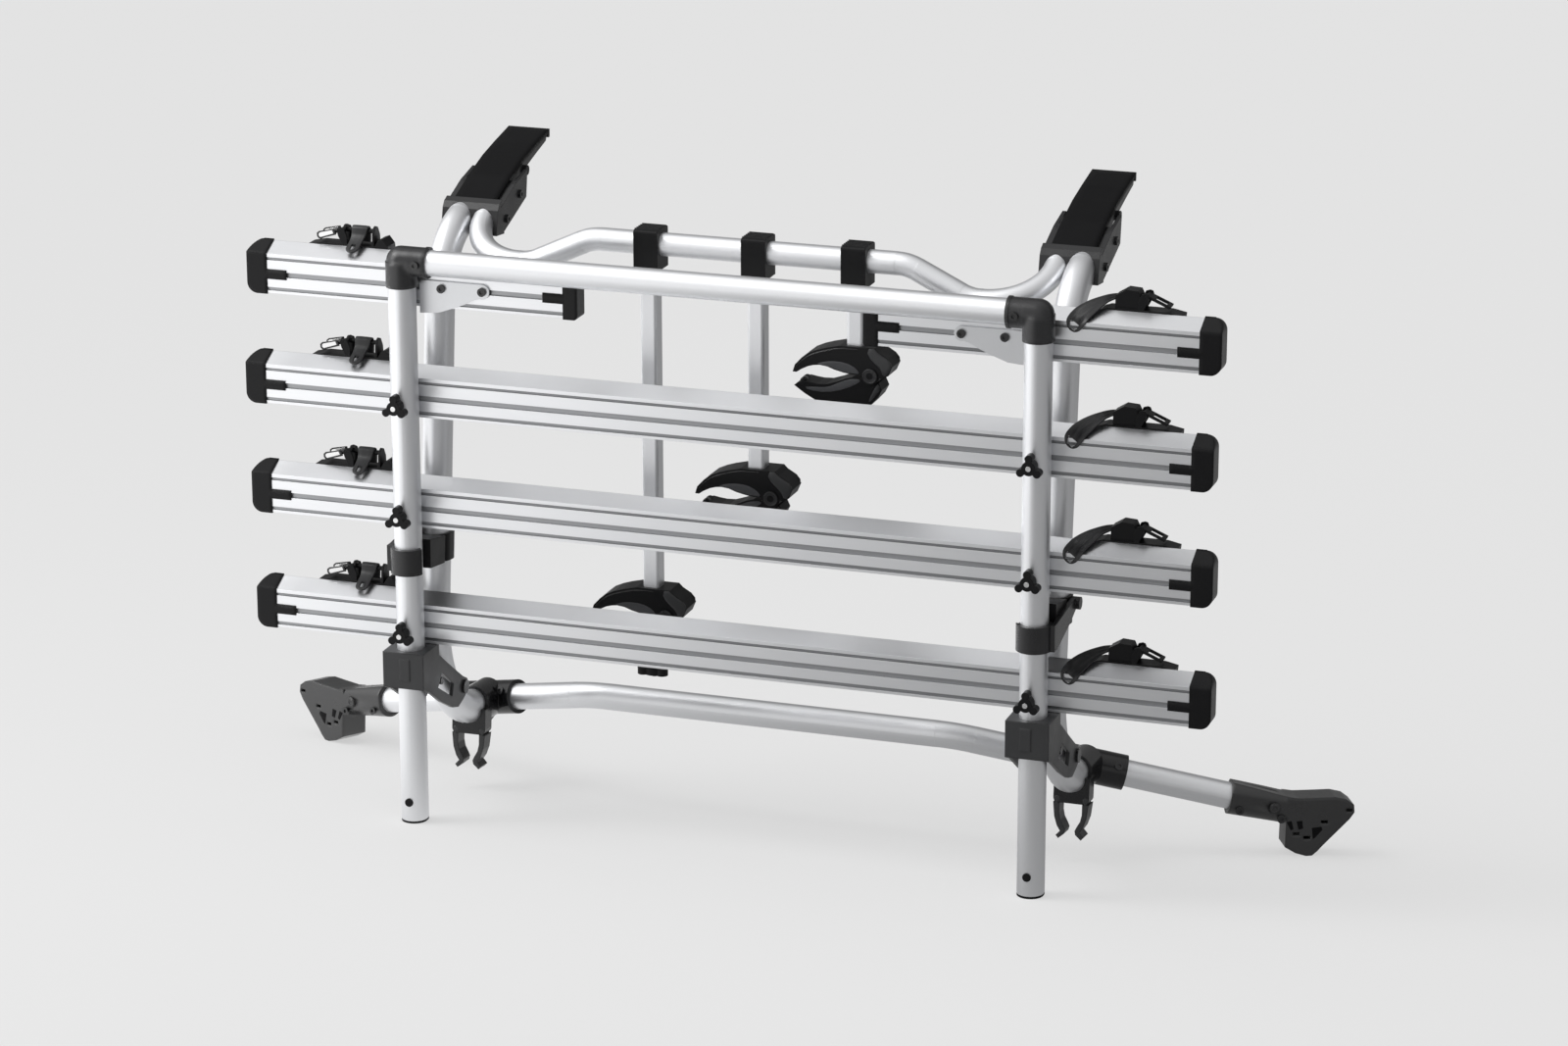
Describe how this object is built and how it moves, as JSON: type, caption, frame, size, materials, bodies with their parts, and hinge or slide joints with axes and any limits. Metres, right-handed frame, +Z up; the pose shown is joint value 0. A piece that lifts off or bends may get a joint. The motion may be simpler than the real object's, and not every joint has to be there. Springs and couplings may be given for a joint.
{
  "type": "tailgate bike rack",
  "caption": "Tailgate bike rack with a folding wheel platform, hinged frame holders with clamping jaws, roof-edge hooks and lower support feet on a bent bar.",
  "frame": {"origin": "middle of the lower bar's axis", "axes": "+X to the right along the lower bar seen from the bike side, +Y towards the vehicle, +Z up with the rack standing on its legs and feet"},
  "size_m": [1.489, 0.5105, 0.8751],
  "materials": {
    "tube_aluminium": "satin anodised tube",
    "rail_aluminium": "satin anodised extrusion",
    "black_plastic": "fine-grained moulded black",
    "dark_steel": "black coated steel",
    "strap_rubber": "matte flexible strap",
    "bright_steel": "zinc plated"
  },
  "bodies": {
    "frame": {"posts": "tube_aluminium", "upper_crossbar": "tube_aluminium", "hook_plates": "dark_steel", "hook_blocks": "black_plastic", "hook_rollers": "black_plastic", "lower_bar": "tube_aluminium", "bar_brackets": "black_plastic", "hinge_pins": "dark_steel", "feet": "black_plastic", "lock_bases": "black_plastic", "frame_screws": "dark_steel"},
    "platform": {"legs": "tube_aluminium", "platform_crossbar": "tube_aluminium", "elbows": "black_plastic", "leg_caps": "black_plastic", "hinge_brackets": "black_plastic", "platform_screws": "dark_steel", "gussets": "tube_aluminium", "upper_rails": "rail_aluminium", "long_rails": "rail_aluminium", "outer_caps": "black_plastic", "inner_caps": "black_plastic", "knob_bolts": "bright_steel", "buckle_bases": "black_plastic", "wheel_straps": "strap_rubber"},
    "clip_1": {"clip_arm_1": "black_plastic"},
    "clip_2": {"clip_arm_2": "black_plastic"},
    "clip_3": {"clip_arm_3": "black_plastic"},
    "clip_4": {"clip_arm_4": "black_plastic"},
    "lock_left": {"lock_hook_left": "black_plastic"},
    "lock_right": {"lock_hook_right": "black_plastic"},
    "star_1": {"star_knob_1": "black_plastic"},
    "star_2": {"star_knob_2": "black_plastic"},
    "star_3": {"star_knob_3": "black_plastic"},
    "star_4": {"star_knob_4": "black_plastic"},
    "star_5": {"star_knob_5": "black_plastic"},
    "star_6": {"star_knob_6": "black_plastic"},
    "lever_1": {"buckle_lever_1": "black_plastic"},
    "lever_2": {"buckle_lever_2": "black_plastic"},
    "lever_3": {"buckle_lever_3": "black_plastic"},
    "lever_4": {"buckle_lever_4": "black_plastic"},
    "lever_5": {"buckle_lever_5": "black_plastic"},
    "lever_6": {"buckle_lever_6": "black_plastic"},
    "lever_7": {"buckle_lever_7": "black_plastic"},
    "lever_8": {"buckle_lever_8": "black_plastic"},
    "holder_arm_1": {"arm_1": "tube_aluminium", "holder_1": "black_plastic"},
    "lower_jaw_1": {"jaw_1": "black_plastic"},
    "tightener_1": {"jaw_knob_1": "black_plastic"},
    "holder_arm_2": {"arm_2": "tube_aluminium", "holder_2": "black_plastic"},
    "lower_jaw_2": {"jaw_2": "black_plastic"},
    "tightener_2": {"jaw_knob_2": "black_plastic"},
    "holder_arm_3": {"arm_3": "tube_aluminium", "holder_3": "black_plastic"},
    "lower_jaw_3": {"jaw_3": "black_plastic"},
    "tightener_3": {"jaw_knob_3": "black_plastic"}
  },
  "joints": [
    {"name": "platform_fold", "type": "hinge", "parent": "frame", "child": "platform", "pos_m": [0, -0.10887, 0.01952], "axis": [1, 0, 0], "range_deg": [0, 84.4]},
    {"name": "clip_spread_1", "type": "hinge", "parent": "frame", "child": "clip_1", "pos_m": [-0.434, -0.01081, -0.06108], "axis": [0, 0.9999, 0.0162], "range_deg": [0, 17]},
    {"name": "clip_spread_2", "type": "hinge", "parent": "frame", "child": "clip_2", "pos_m": [-0.396, -0.01081, -0.06108], "axis": [0, 0.9999, 0.0162], "range_deg": [-17, 0]},
    {"name": "clip_spread_3", "type": "hinge", "parent": "frame", "child": "clip_3", "pos_m": [0.396, -0.01081, -0.06108], "axis": [0, 0.9999, 0.0162], "range_deg": [0, 17]},
    {"name": "clip_spread_4", "type": "hinge", "parent": "frame", "child": "clip_4", "pos_m": [0.434, -0.01081, -0.06108], "axis": [0, 0.9999, 0.0162], "range_deg": [-17, 0]},
    {"name": "lock_pull_left", "type": "slide", "parent": "platform", "child": "lock_left", "axis": [0, -0.9936, -0.1132], "range_m": [0, 0.03]},
    {"name": "lock_pull_right", "type": "slide", "parent": "platform", "child": "lock_right", "axis": [0, -0.9936, -0.1132], "range_m": [0, 0.03]},
    {"name": "star_turn_1", "type": "hinge", "parent": "platform", "child": "star_1", "pos_m": [-0.415, -0.29082, 0.41516], "axis": [0, -0.9936, -0.1132], "continuous": true},
    {"name": "star_turn_2", "type": "hinge", "parent": "platform", "child": "star_2", "pos_m": [0.415, -0.29082, 0.41516], "axis": [0, -0.9936, -0.1132], "continuous": true},
    {"name": "star_turn_3", "type": "hinge", "parent": "platform", "child": "star_3", "pos_m": [-0.415, -0.27425, 0.2697], "axis": [0, -0.9936, -0.1132], "continuous": true},
    {"name": "star_turn_4", "type": "hinge", "parent": "platform", "child": "star_4", "pos_m": [0.415, -0.27425, 0.2697], "axis": [0, -0.9936, -0.1132], "continuous": true},
    {"name": "star_turn_5", "type": "hinge", "parent": "platform", "child": "star_5", "pos_m": [-0.415, -0.2566, 0.11481], "axis": [0, -0.9936, -0.1132], "continuous": true},
    {"name": "star_turn_6", "type": "hinge", "parent": "platform", "child": "star_6", "pos_m": [0.415, -0.2566, 0.11481], "axis": [0, -0.9936, -0.1132], "continuous": true},
    {"name": "lever_lift_1", "type": "hinge", "parent": "platform", "child": "lever_1", "pos_m": [-0.518, -0.23039, 0.62677], "axis": [0, 0.9936, 0.1132], "range_deg": [0, 100]},
    {"name": "lever_lift_2", "type": "hinge", "parent": "platform", "child": "lever_2", "pos_m": [0.536, -0.23039, 0.62677], "axis": [0, -0.9936, -0.1132], "range_deg": [0, 100]},
    {"name": "lever_lift_3", "type": "hinge", "parent": "platform", "child": "lever_3", "pos_m": [-0.518, -0.21386, 0.4817], "axis": [0, 0.9936, 0.1132], "range_deg": [0, 100]},
    {"name": "lever_lift_4", "type": "hinge", "parent": "platform", "child": "lever_4", "pos_m": [0.536, -0.21386, 0.4817], "axis": [0, -0.9936, -0.1132], "range_deg": [0, 100]},
    {"name": "lever_lift_5", "type": "hinge", "parent": "platform", "child": "lever_5", "pos_m": [-0.518, -0.19729, 0.33624], "axis": [0, 0.9936, 0.1132], "range_deg": [0, 100]},
    {"name": "lever_lift_6", "type": "hinge", "parent": "platform", "child": "lever_6", "pos_m": [0.536, -0.19729, 0.33624], "axis": [0, -0.9936, -0.1132], "range_deg": [0, 100]},
    {"name": "lever_lift_7", "type": "hinge", "parent": "platform", "child": "lever_7", "pos_m": [-0.518, -0.17964, 0.18135], "axis": [0, 0.9936, 0.1132], "range_deg": [0, 100]},
    {"name": "lever_lift_8", "type": "hinge", "parent": "platform", "child": "lever_8", "pos_m": [0.536, -0.17964, 0.18135], "axis": [0, -0.9936, -0.1132], "range_deg": [0, 100]},
    {"name": "arm_swing_1", "type": "hinge", "parent": "frame", "child": "holder_arm_1", "pos_m": [-0.13, -0.15493, 0.62927], "axis": [1, 0, 0], "range_deg": [-5, 95]},
    {"name": "jaw_open_1", "type": "hinge", "parent": "holder_arm_1", "child": "lower_jaw_1", "pos_m": [-0.1077, -0.0997, 0.1445], "axis": [0, 0.9936, 0.1132], "range_deg": [-22, 4]},
    {"name": "tighten_1", "type": "hinge", "parent": "lower_jaw_1", "child": "tightener_1", "pos_m": [-0.13, -0.09131, 0.07088], "axis": [0, -0.1132, 0.9936], "continuous": true},
    {"name": "arm_swing_2", "type": "hinge", "parent": "frame", "child": "holder_arm_2", "pos_m": [0.013, -0.15493, 0.62927], "axis": [1, 0, 0], "range_deg": [-5, 95]},
    {"name": "jaw_open_2", "type": "hinge", "parent": "holder_arm_2", "child": "lower_jaw_2", "pos_m": [0.0353, -0.11929, 0.31639], "axis": [0, 0.9936, 0.1132], "range_deg": [-22, 4]},
    {"name": "tighten_2", "type": "hinge", "parent": "lower_jaw_2", "child": "tightener_2", "pos_m": [0.013, -0.1109, 0.24277], "axis": [0, -0.1132, 0.9936], "continuous": true},
    {"name": "arm_swing_3", "type": "hinge", "parent": "frame", "child": "holder_arm_3", "pos_m": [0.144, -0.15493, 0.62927], "axis": [1, 0, 0], "range_deg": [-5, 95]},
    {"name": "jaw_open_3", "type": "hinge", "parent": "holder_arm_3", "child": "lower_jaw_3", "pos_m": [0.1663, -0.13876, 0.48729], "axis": [0, 0.9936, 0.1132], "range_deg": [-22, 4]},
    {"name": "tighten_3", "type": "hinge", "parent": "lower_jaw_3", "child": "tightener_3", "pos_m": [0.144, -0.13037, 0.41366], "axis": [0, -0.1132, 0.9936], "continuous": true}
  ],
  "couplings": [
    {"joint": "clip_spread_1", "follows": "platform_fold", "ratio": 0.2014},
    {"joint": "clip_spread_2", "follows": "platform_fold", "ratio": -0.2014},
    {"joint": "clip_spread_3", "follows": "platform_fold", "ratio": 0.2014},
    {"joint": "clip_spread_4", "follows": "platform_fold", "ratio": -0.2014}
  ]
}
